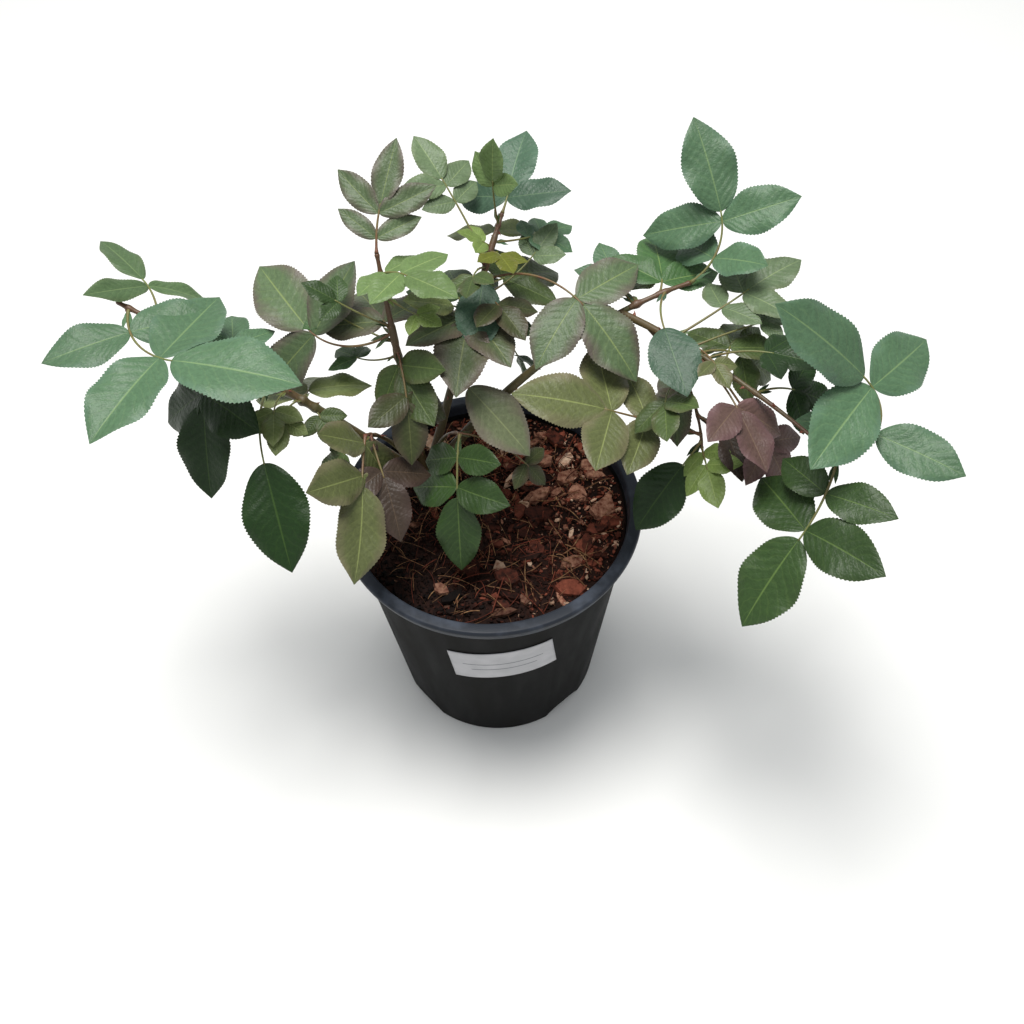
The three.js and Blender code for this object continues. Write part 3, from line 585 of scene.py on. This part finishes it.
# ---- the plant: the same rule as its solids, carried to finer parts
# each leaf: share of the cane, heading, lift, sag, swing, stalk, end leaflet, leaflets, roll, spread, tint
canes = [
    dict(name="left", grownFrom="graft", fromShare=0, knee=(-95, 5, 280), tip=(-212, 50, 325),
         radius=3.8, bare=0.42, leaves=[
        (0.97, -90, -5, -20, 75, 20, 76, 5, -5, 95, "sage"),
        (0.9, 95, 10, 10, 35, 30, 52, 3, 35, 100, "curledGreen"),
        (0.8, -80, -35, 40, -15, 30, 58, 3, 40, 70, "deep"),
        (0.6, -105, 0, 75, 30, 55, 66, 1, 20, 62, "deep"),
        (0.55, -110, 30, 50, 25, 25, 24, 3, 10, 62, "cream"),
        (0.7, 100, 5, 40, 0, 15, 36, 3, 5, 62, "sage"),
        (0.5, 85, -20, 40, 0, 15, 46, 3, -10, 72, "cream"),
        (0.46, -60, -20, 30, 0, 6, 20, 3, 10, 62, "moss"),
        (0.5, -115, 45, 80, 20, 32, 22, 3, 0, 62, "cream"),
    ]),
    dict(name="tall", grownFrom="graft", fromShare=0, knee=(-48, 18, 270), tip=(-58, 60, 345),
         radius=3.4, bare=0.6, leaves=[
        (0.72, 205, -20, -60, -80, 53, 62, 3, -40, 85, "bronze"),
        (1, 90, 45, 20, -20, 8, 40, 5, 5, 52, "curledBronze"),
        (0.93, -40, 40, 80, 0, 5, 38, 5, -5, 75, "fresh"),
        (0.65, -75, -10, 65, -10, 30, 38, 3, -30, 62, "umber"),
        (0.68, 155, 5, 0, -15, 45, 24, 3, -5, 62, "midGreen"),
        (0.85, -45, 0, -10, 5, 25, 18, 3, 5, 62, "lime"),
        (0.7, 115, 5, 50, 0, 15, 46, 3, 0, 62, "copper"),
        (0.62, -95, -15, 5, 35, 5, 42, 3, 50, 60, "moss"),
        (0.74, 180, 30, -10, -10, 35, 22, 3, -5, 62, "leafGreen"),
        (0.63, -195, -35, -30, -30, 36, 22, 3, 5, 62, "midGreen"),
    ]),
    dict(name="back", grownFrom="graft", fromShare=0, knee=(-10, 40, 300), tip=(15, 105, 335),
         radius=3.4, bare=0.5, leaves=[
        (0.62, -160, 35, 20, 0, 15, 34, 1, 0, 62, "cream"),
        (0.8, 125, 45, 20, 0, 40, 32, 5, 5, 70, "softGreen"),
        (0.95, 35, 100, 20, 0, 30, 28, 3, 5, 62, "fresh"),
        (1, 65, 30, 5, 10, 10, 44, 3, -15, 85, "teal"),
        (0.88, 20, -15, -5, 20, 25, 26, 5, 5, 62, "sage"),
        (0.75, -90, -10, 60, -10, 5, 48, 1, 0, 62, "teal"),
        (0.62, -108, 12, 70, 8, 6, 54, 3, 0, 40, "copper"),
        (0.53, -130, -8, 50, 90, 40, 56, 1, 10, 62, "blush"),
        (0.72, -15, 40, 105, -35, 70, 54, 3, 10, 75, "bronze"),
        (0.54, 20, -20, 80, 5, 50, 22, 3, -25, 75, "dark"),
        (0.86, -175, 45, 20, 0, 6, 18, 3, 5, 62, "lime"),
        (0.66, -35, -5, 25, 5, 25, 18, 1, 0, 62, "dark"),
        (0.55, 100, 5, 40, 0, 30, 44, 3, 0, 62, "leafGreen"),
        (0.7, 40, -5, 40, 0, 20, 46, 3, 5, 62, "moss"),
        (0.9, 90, -25, 30, 0, 25, 40, 3, 0, 62, "cream"),
        (0.68, -40, 20, 60, -20, 18, 28, 3, -10, 62, "umber"),
        (0.84, -60, 40, 60, -10, 15, 22, 3, -20, 62, "gold"),
        (0.66, 25, 5, -35, 20, 45, 24, 3, 0, 55, "softGreen"),
        (0.78, 240, 40, 60, 20, 22, 22, 3, 20, 55, "moss"),
    ]),
    dict(name="right", grownFrom="graft", fromShare=0, knee=(30, 20, 315), tip=(124, 53, 320),
         radius=3.6, bare=0.8, leaves=[
        (1, 10, 35, -25, 100, 20, 56, 5, -27, 85, "sage"),
        (0.9, 70, 10, 30, 20, 10, 42, 3, 5, 62, "midGreen"),
        (0.92, -115, 15, 50, 35, 35, 46, 1, 20, 62, "teal"),
        (0.83, 110, -10, 40, 0, 20, 40, 3, 0, 62, "cream"),
        (0.82, 125, 5, -15, -20, 20, 30, 3, 10, 55, "sage"),
    ]),
    dict(name="far_right", grownFrom="right", fromShare=0.77, knee=(135, -5, 315), tip=(189, -70, 302),
         radius=2.4, bare=0.24, leaves=[
        (0.26, 25, 15, 0, 5, 35, 38, 5, -10, 70, "softGreen"),
        (0.3, -50, 35, 60, -20, 30, 18, 3, -15, 62, "olive"),
        (0.38, 20, 0, 85, -15, 30, 32, 3, 35, 62, "moss"),
        (0.32, -55, 5, 40, -15, 50, 38, 3, -25, 62, "maroon"),
        (0.45, -55, -25, 35, 15, 55, 32, 3, 10, 62, "maroon"),
        (0.65, 25, 0, 65, -20, 25, 30, 3, 30, 55, "deep"),
        (0.97, -30, 15, -60, 195, 28, 68, 5, -5, 95, "sage"),
        (1, -110, -30, 25, -30, 20, 58, 5, 25, 100, "leafGreen"),
        (0.34, 15, 15, 25, 5, 45, 20, 3, 0, 62, "softGreen"),
        (0.5, 70, 0, 30, 0, 20, 34, 3, 0, 62, "moss"),
        (0.42, -5, 30, 45, -20, 35, 30, 3, -10, 55, "deep"),
    ]),
    dict(name="right_mid", grownFrom="far_right", fromShare=0.14, knee=(126, 2, 290), tip=(127, -25, 262),
         radius=1.8, bare=0.35, leaves=[
        (0.5, 190, -55, 20, -10, 5, 40, 3, 5, 55, "copper"),
        (0.9, 175, 20, -5, 5, 35, 56, 5, -5, 75, "olive"),
        (1, -90, 10, 30, 5, 5, 26, 5, 35, 62, "lime"),
        (0.95, -135, -30, 45, -10, 18, 50, 1, -5, 62, "deep"),
        (0.75, -40, -10, 10, 10, 20, 40, 3, -10, 50, "shade"),
        (0.45, -140, 20, 30, 45, 30, 28, 3, 35, 50, "moss"),
    ]),
    dict(name="front_left", grownFrom="graft", fromShare=0, knee=(-60, 10, 250), tip=(-72, -5, 262),
         radius=2.2, bare=0.6, leaves=[
        (1, -95, -10, 35, 5, 5, 58, 5, -60, 65, "olive"),
        (0.8, -170, -25, 35, -5, 25, 26, 3, -5, 62, "moss"),
        (0.9, -75, -15, 35, 5, 25, 40, 3, -20, 70, "shade"),
    ]),
    dict(name="front", grownFrom="graft", fromShare=0, knee=(-30, 20, 240), tip=(-16, 0, 254),
         radius=2, bare=0.6, leaves=[
        (1, -100, -30, 45, 10, 15, 48, 5, 40, 85, "leafGreen"),
        (0.9, -5, -5, 65, -15, 50, 20, 3, 20, 75, "umber"),
    ]),
]
wood = dict(taper=0.66, joint=0.16, jointLength=2.2, around=14, detail=260, fewest=8, tipLength=1.6)
thorns = dict(spacing=17, length=3.6, foot=1.7, tip=0.08, hook=0.45, steps=6, around=7)
stalks = dict(
    radius=0.85, taper=0.35, bends=48, around=7, fullSize=40, footSwell=(1.7, 1.35, 1.12),
    stipule=10, stipuleFrom=15, stipuleTurn=0.16, stipuleWidth=0.34, red=0.55, green=0.15,
    lightPull=0.5, light=(0, -0.35, 0.94),
)
blade = dict(
    halfWidth=0.3, early=0.92, fullness=0.62, point=3.3, blend=8, thickness=0.012, fold=0.17, droop=0.1,
    wave=0.032, quilt=0.0035, bend=0.05, toothDepth=0.05, toothLength=1.9, teeth=(6, 34), across=10,
    firstGap=0.12, pairGap=0.38, pairSize=0.86, pairLoss=0.17, endTwist=12, twist=15, swing=8, uneven=0.07,
    sharpFrom=60,
)
# each stem: name, tint of its foot, of its tip, and roughness
stemLooks = (
    ("woody rose cane", "#4d3c20", "#474a26", 0.55),
    ("rose thorn", "#5a2f22", "#7b4030", 0.4),
    ("green rose stem", "#454a26", "#583c2a", 0.45),
    ("leaf stalk", "#68743e", "#6b3d30", 0.45),
)
# tint of the blade, of its margin, of its ribs, and how far in from the margin the flush comes
tints = dict(
    sage=("#4c6a4c", "#56705e", "#7d9662", 0.3),
    teal=("#3f5a46", "#4c6654", "#6a8460", 0.35),
    midGreen=("#3d5e33", "#4a6543", "#7f9655", 0.3),
    leafGreen=("#2e451f", "#374927", "#647c3e", 0.3),
    deep=("#16300a", "#1e3410", "#3c5420", 0.3),
    dark=("#1f3512", "#263518", "#4c6329", 0.3),
    moss=("#42532a", "#4b4a30", "#6f8044", 0.5),
    olive=("#596039", "#6f6651", "#929c5c", 0.6),
    bronze=("#516444", "#5f4d4e", "#849256", 0.62),
    copper=("#4a5738", "#5a4c44", "#7c8350", 0.9),
    umber=("#3b4222", "#44382d", "#62683a", 0.8),
    # shade: brown-bronze leaf colour darkened as painted shade, for leaves that lie in shadow
    shade=("#3a2e24", "#41322d", "#5b4a3a", 0.8),
    fresh=("#5f7745", "#667a4d", "#99ab6a", 0.3),
    softGreen=("#5d7050", "#646e50", "#8fa06c", 0.35),
    curledGreen=("#506943", "#5d6b4a", "#8ba06a", 0.35),
    curledBronze=("#4d5e3f", "#5b4b4b", "#849256", 0.7),
    lime=("#6c8140", "#74834a", "#9fb066", 0.4),
    gold=("#595f18", "#5f5c20", "#8b9040", 0.5),
    blush=("#717a5b", "#7d6b67", "#98a070", 0.6),
    cream=("#6d7a48", "#6b6b46", "#a0a86f", 0.5),
    maroon=("#624c46", "#6b5052", "#7e6a54", 0.85),
)
under = dict(
    green=("#64775c", "#64775c", "#a3ad88", 0.1),
    bronze=("#62564b", "#62564b", "#a3ad88", 0.1),
)
reddish = ("bronze", "blush", "curledBronze", "copper", "umber", "shade", "maroon")
redStalked = (*reddish, "olive")
slim = dict(curledGreen=0.6, curledBronze=0.74)  # leaves whose halves curl up, and look narrow
tintSlots = {name: i for i, name in enumerate(tints)}
underSlots = {name: len(tints) + (name in reddish) for name in tints}


def leafMaterial(name, body, edge, rib, flush):
    # rose leaflet: satin cuticle over a quilted, mottled blade with pale ribs, its margin flushed darker or
    # redder. With a the share from midrib to margin, s the share along and c cloud noise, the side ribs run
    # where 9 s - 2.2 a + 2.2 c is whole, and the flush comes in as a + 0.8 c passes 1.35 - 0.75 flush
    material, tree, shader = newMaterial(name, 0.45, Specular_IOR_Level=0.32)
    place = objectPlace(tree)
    uv = addNode(tree, "ShaderNodeUVMap", uv_map="leafUV").outputs[0]
    axes = addNode(tree, "ShaderNodeSeparateXYZ", {0: uv})
    away = calc(tree, "ABSOLUTE", calc(tree, "MULTIPLY_ADD", axes.outputs[0], 2.0, -1.0))
    clouds = noise(tree, place, 75.0, 4.0)
    lean = calc(tree, "MULTIPLY_ADD", away, -2.2, 0.0)
    drift = calc(tree, "MULTIPLY_ADD", clouds, 2.2, lean)
    near = calc(tree, "PINGPONG", calc(tree, "MULTIPLY_ADD", axes.outputs[1], 9.0, drift), 0.5)
    vein = ranged(tree, near, 0.0, 0.14, 0.09, 0.0, "SMOOTHSTEP")
    midrib = ranged(tree, away, 0.01, 0.045, 0.5, 0.0, "SMOOTHSTEP")
    ribs = calc(tree, "MAXIMUM", vein, midrib)
    mottle = noise(tree, place, 420.0, 4.0)
    wander = calc(tree, "MULTIPLY_ADD", clouds, 0.8, away)
    margin = ranged(tree, wander, 1.35 - 0.75 * flush, 1.45, 0.0, 0.35 + 0.6 * flush)
    deep = [0.72 * c for c in linear(body)[:3]] + [1]
    tone = blend(tree, ranged(tree, mottle, 0.35, 0.68, 0.0, 0.7), linear(body), deep)
    ribbed = blend(tree, ribs, blend(tree, margin, tone, linear(edge)), linear(rib))
    fine = dict(Vector=place, Scale=520.0)
    cells = addNode(tree, "ShaderNodeTexVoronoi", fine, feature="DISTANCE_TO_EDGE")
    net = calc(tree, "MULTIPLY_ADD", cells.outputs[0], 1.1, near)
    quilt = calc(tree, "MULTIPLY_ADD", ribs, -0.8, net)
    grain = calc(tree, "MULTIPLY_ADD", mottle, 0.7, quilt)
    paint(tree, shader, ownTone(tree, ribbed, 0.16), grain, 0.5, 0.0004)
    return material


def stemMaterial(name, foot, tip, roughness):
    # living rose stem: waxy blotched skin with pale flecks, redder or greener towards the tip. The share of
    # the tip's colour is the stem's own shade + 1.1 blotch noise - 0.55
    material, tree, shader = newMaterial(name, roughness, Specular_IOR_Level=0.45)
    place = objectPlace(tree)
    blotch = calc(tree, "MULTIPLY_ADD", noise(tree, place, 130.0, 5.0), 1.1, -0.55)
    age = addNode(tree, "ShaderNodeMath", {0: ownShade(tree), 1: blotch}, operation="ADD", use_clamp=True)
    skin = blend(tree, age.outputs[0], linear(foot), linear(tip))
    specks = noise(tree, place, 900.0, 3.0)
    flecked = blend(tree, ranged(tree, specks, 0.6, 0.75, 0.0, 0.5), skin, linear("#8f7c55"))
    paint(tree, shader, flecked, specks, 0.4, 0.0003)
    return material


leafLooks = [leafMaterial("rose leaf " + name, *values) for name, values in tints.items()]
leafLooks += [leafMaterial("rose leaf underside " + name, *values) for name, values in under.items()]
cutTemplates = {}


def leafletTemplate(teeth):
    # a closed two-sided grid: two rows to a tooth, poles at foot and tip, both sheets sharing the margin
    if teeth in cutTemplates:
        return cutTemplates[teeth]
    rows, m = 2 * teeth, blade["across"]
    inner = (rows - 1) * (m - 1)
    upper = np.zeros((rows + 1, m + 1), int)
    upper[-1] = 1
    upper[1:-1, 0] = 2 + np.arange(rows - 1)
    upper[1:-1, -1] = 2 + (rows - 1) + np.arange(rows - 1)
    lower = upper.copy()
    upper[1:-1, 1:-1] = (2 + 2 * (rows - 1) + np.arange(inner)).reshape(rows - 1, m - 1)
    lower[1:-1, 1:-1] = upper[1:-1, 1:-1] + inner
    total = 2 + 2 * (rows - 1) + 2 * inner
    along, across, sheet, notch = np.zeros((4, total))
    grid = np.meshgrid(np.arange(rows + 1) / rows, np.linspace(-1, 1, m + 1), indexing="ij")
    step = np.repeat((np.arange(rows + 1) % 2)[:, None], m + 1, axis=1)
    for ids, hand in ((lower, -1.0), (upper, 1.0)):
        along[ids], across[ids] = grid
        sheet[ids] = hand
        notch[ids] = step
    sheet[upper[:, 0]] = sheet[upper[:, -1]] = 0
    sheet[:2] = 0

    def sheetTriangles(ids):
        # the squares at the poles keep only the triangle whose corners differ
        both = quads(ids[:-1, :-1], ids[:-1, 1:], ids[1:, 1:], ids[1:, :-1])
        keep = (both[:, 0] != both[:, 1]) & (both[:, 1] != both[:, 2]) & (both[:, 0] != both[:, 2])
        return both[keep]

    top, bottom = sheetTriangles(upper), sheetTriangles(lower)[:, ::-1]
    cutTemplates[teeth] = (along, across, sheet, notch, np.concatenate([top, bottom]), len(top))
    return cutTemplates[teeth]


def addLeaflet(heap, origin, along, face, length, tint, seed, narrow=1.0):
    # width sin(pi s^0.92)^0.62, held under 3.3 (1 - s) for a sharp tip and cut by forward teeth;
    # height fold |x| - droop s^2, with a waved margin that curls down and a quilt of ten ribs a side
    teeth = int(np.clip(round(length / blade["toothLength"]), *blade["teeth"]))
    s, v, sheet, notch, triangles, topCount = leafletTemplate(teeth)
    lit = face + (np.array(stalks["light"]) - face) * stalks["lightPull"]
    side = unit(np.cross(along, lit))
    out = np.cross(side, along)
    inside = np.clip(s, 1e-6, 1 - 1e-6)
    full = np.sin(np.pi * inside ** blade["early"]) ** blade["fullness"]
    power = -blade["blend"]
    held = (full**power + (blade["point"] * (1 - inside)) ** power) ** (1 / power)
    swell = np.where(inside == s, held, 0)
    sawn = 1 + blade["toothDepth"] * np.clip((s - 0.08) * 6, 0, 1) * (notch - 0.5) * np.abs(v) ** 5
    fold = blade["fold"] * (1 + vary(seed, 31, 0.6))
    droop = blade["droop"] * (1 + vary(seed, 32, 0.7))
    x = v * swell * sawn * blade["halfWidth"] * narrow * slim.get(tint, 1) * (1 + vary(seed, 34, 0.06))
    z = fold * np.abs(x) - droop * s**2
    waves = (9 + 5 * chance(seed, 38)) * s + anyTurn(seed, 33) + 1.2 * np.sign(v)
    z = z + blade["wave"] * v**2 * np.sin(waves) * swell
    z = z - 0.5 * fold * np.abs(x) * np.abs(v) ** 3 * (0.5 + chance(seed, 35))
    ribs = 10 * s - 2.2 * np.abs(v)
    z = z - blade["quilt"] * np.cos(2 * np.pi * ribs) * np.sin(np.pi * np.abs(v)) * swell
    z = z + sheet * blade["thickness"] / 2 * np.minimum(1, 2 * swell)
    x = x + vary(seed, 36, blade["bend"]) * s**2
    slots = np.full(len(triangles), underSlots[tint])
    slots[:topCount] = tintSlots[tint]
    points = origin + length * (x[:, None] * side + s[:, None] * along + z[:, None] * out)
    heap.add(points, triangles, slots, np.stack([(v + 1) / 2, s], -1), vary(seed, 37, 1.0))


def leafPath(start, length, straightFrom, turn, lift, sag, swing, roll):
    # the stalk's places and its directions along, across and out of its face, at even steps
    share = np.arange(stalks["bends"] + 1) / stalks["bends"]
    rise = np.radians(lift - sag * share)
    heading = np.radians(turn + swing * np.minimum(1, share / straightFrom))
    along = np.stack([np.cos(heading) * np.cos(rise), np.sin(heading) * np.cos(rise), np.sin(rise)], -1)
    face = np.stack([-np.cos(heading) * np.sin(rise), -np.sin(heading) * np.sin(rise), np.cos(rise)], -1)
    side = np.cross(face, along)
    angle = math.radians(roll)
    side, face = turnAbout(side, along, angle), turnAbout(face, along, angle)
    steps = np.concatenate([np.zeros((1, 3)), np.cumsum(along[:-1], axis=0)]) * length / stalks["bends"]
    return start + steps, along, side, face


def addLeaf(leaflets, twigs, cane, row, seed):
    at, turn, lift, sag, swing, stalk, size, count, roll, spread, tint = row
    pairs = (count - 1) // 2
    stem = size * (blade["firstGap"] + blade["pairGap"] * (pairs - 1)) if pairs else 0
    length = stalk + stem + size
    start, straightFrom = curveAt(cane, at), (stalk + stem) / length
    points, along, side, face = leafPath(start, length, straightFrom, turn, lift, sag, swing, roll)

    def bendAt(distance):
        return int(round(distance / length * stalks["bends"]))

    last, around = bendAt(stalk + stem), stalks["around"]
    radius = stalks["radius"] * (0.6 + 0.4 * min(1, size / stalks["fullSize"]))
    radii = radius * (1 - stalks["taper"] * np.arange(last + 1) / max(last, 1))
    swelled = min(last + 1, len(stalks["footSwell"]))
    radii[:swelled] *= stalks["footSwell"][:swelled]
    red = stalks["red"] if tint in redStalked else stalks["green"]
    verts, tris = tube(points[: last + 1], side[: last + 1], face[: last + 1], radii, around)
    fade = np.repeat(red + 0.3 * (1 - np.linspace(0, 1, last + 1)), around)
    twigs.add(verts, tris, 0, None, np.concatenate([fade, [red, red]]))

    if stalk >= stalks["stipuleFrom"]:  # two stipules, joined to the foot of the stalk and free at their tips
        for hand in (1, -1):
            way = turnAbout(along[1], face[1], hand * stalks["stipuleTurn"])
            foot = points[1] + hand * radius * 0.5 * side[1]
            own = stalks["stipule"] * (0.7 + size / 120)
            addLeaflet(leaflets, foot, way, face[1], own, tint, seed + 0.31 * hand, stalks["stipuleWidth"])
    out = turnAbout(face[last], along[last], math.radians(vary(seed, 0, blade["endTwist"])))
    addLeaflet(leaflets, points[last] - along[last], along[last], out, size, tint, seed)
    for pair in range(pairs):
        joint = bendAt(stalk + size * blade["pairGap"] * pair)
        for hand in (1, -1):
            key = 2 * pair + (1 if hand > 0 else 2)
            swung = hand * math.radians(spread + vary(seed, key, blade["swing"]))
            way = turnAbout(along[joint], face[joint], swung)
            out = turnAbout(face[joint], way, math.radians(vary(seed, key + 10, blade["twist"])))
            share = blade["pairSize"] - blade["pairLoss"] * (pairs - 1 - pair)
            own = size * share * (1 + vary(seed, key + 20, blade["uneven"]))
            addLeaflet(leaflets, points[joint], way, out, own, tint, seed + key / 7)


def curveAt(cane, share):
    # quadratic curve (1 - t)^2 foot + 2 t (1 - t) knee + t^2 tip
    foot, knee, tip = (np.array(cane[k], float) for k in ("foot", "knee", "tip"))
    t = np.asarray(share, float)[..., None]
    return (1 - t) ** 2 * foot + 2 * t * (1 - t) * knee + t * t * tip


def addCane(heap, cane, low, high, seed, slot=0):
    # a tapering round stem with a swelling at each leaf, faint ridges, a round tip and hooked thorns
    t = np.linspace(low, high, max(wood["fewest"], int(wood["detail"] * (high - low))))
    points = curveAt(cane, t)
    along = unit(np.gradient(points, axis=0))
    side = unit(np.cross([0.0, 1, 0], along))
    face = np.cross(along, side)
    span = np.linalg.norm(np.diff(points, axis=0), axis=1).sum() / (high - low)
    radii = cane["radius"] * (1 - wood["taper"] * t)
    for row in cane["leaves"]:
        beyond = (t - row[0]) * span / wood["jointLength"]
        radii = radii + wood["joint"] * cane["radius"] * np.exp(-(beyond**2))
    around, rows = wood["around"], t[:, None]
    a = 2 * np.pi * np.arange(around) / around
    ridges = 1 + 0.035 * np.sin(3 * a + 9 * rows + seed) + 0.02 * np.sin(5 * a - 23 * rows)
    if high >= 1:
        radii = radii * np.sqrt(np.clip((1.004 - t) * span / wood["tipLength"], 0.02, 1))
    verts, tris = tube(points, side, face, radii[:, None] * ridges, around)
    heap.add(verts, tris, slot, None, np.concatenate([np.repeat(t, around), [low, high]]))
    count = int(span * (high - low) / thorns["spacing"])
    for k in range(count):
        share = low + (high - low) * (k + 0.3 + 0.5 * chance(seed, k)) / count
        i = int((share - low) / (high - low) * (len(t) - 1))
        turn = anyTurn(seed + 3, k)
        out = math.cos(turn) * side[i] + math.sin(turn) * face[i]
        size = thorns["length"] * (0.7 + 0.5 * chance(seed, k + 50)) * (1 - 0.35 * share)
        w = np.linspace(0, 1, thorns["steps"])[:, None]
        spine = points[i] + out * (radii[i] * 0.7 + size * w) - along[i] * size * thorns["hook"] * w**2
        way = unit(np.gradient(spine, axis=0))
        flank = unit(np.cross(way, along[i]))
        broad = np.cross(way, flank)
        foot = thorns["foot"] * (0.75 + 0.25 * (1 - share)) * (1 - w[:, 0]) ** 1.3 + thorns["tip"]
        heap.add(*tube(spine, broad, np.cross(way, broad), foot, thorns["around"], 0.5), slot + 1, None, 0.8)


def makePlant():
    bark, thorn, green, stalk = (stemMaterial(*look) for look in stemLooks)
    byName = {}
    for cane in canes:
        parent = byName.get(cane["grownFrom"])
        middle = (graft["x"], graft["y"], mix["top"] + graft["height"] / 2)
        cane["foot"] = tuple(curveAt(parent, cane["fromShare"])) if parent else middle
        byName[cane["name"]] = cane
    woody = Heap()
    for number, cane in enumerate(canes):
        addCane(woody, cane, 0.0, cane["bare"], number + 1)
    settle(woody.piece("rose_canes", [bark, thorn]), "bark", *[c["name"] + "_bough" for c in canes])
    for number, cane in enumerate(canes):
        leaflets, twigs = Heap(), Heap()
        addCane(twigs, cane, cane["bare"], 1.0, number + 21, slot=1)
        for i, row in enumerate(cane["leaves"]):
            addLeaf(leaflets, twigs, cane, row, 10 * number + i)
        blades = leaflets.piece("leaflets_" + cane["name"], leafLooks)
        blades.data.set_sharp_from_angle(angle=math.radians(blade["sharpFrom"]))
        settle(blades, "foliage", cane["name"] + "_leaves")
        stems = twigs.piece("stems_" + cane["name"], [stalk, green, thorn])
        settle(stems, "foliage", cane["name"] + "_leaves")


makePlant()
print("canes and leaves made")


def makeGraft(g):
    # a turned knob, its radius times 1 + 0.07 sin(3a + 0.4) + 0.05 sin(5a + z/3) + 0.025 sin(17a + 1.3 sin z)
    profile = roundedProfile([
        (0, 0), (g["footRadius"], 0), (g["neckRadius"] + 1, g["neckFrom"]), (g["neckRadius"], g["neckTo"]),
        (g["knobRadius"], g["knobAt"]), (g["neckRadius"] - 1, g["height"] - 2),
        (g["neckRadius"] / 2, g["height"]), (0, g["height"]),
    ], g["rounding"], g["steps"])
    fine = np.concatenate([np.linspace(a, b, 4)[:-1] for a, b in zip(profile, profile[1:])] + [profile[-1:]])
    vertices, triangles = turned(fine, g["around"])
    a, z = np.arctan2(vertices[:, 1], vertices[:, 0]), vertices[:, 2]
    swell = 1 + 0.07 * np.sin(3 * a + 0.4) + 0.05 * np.sin(5 * a + z / 3)
    swell = swell + 0.025 * np.sin(17 * a + 1.3 * np.sin(z))
    vertices[:, :2] *= (swell * (1 - 0.06 * (z < 0.5)))[:, None]
    vertices += np.array([g["x"], g["y"], mix["top"] + g["lift"]])
    bark = barkMaterial("old grafted rose wood", g["wood"], g["dark"], g["grain"])
    settle(meshPiece("graft_union", vertices, triangles, [bark]), "bark", "graft")


makeGraft(graft)
print("graft made")
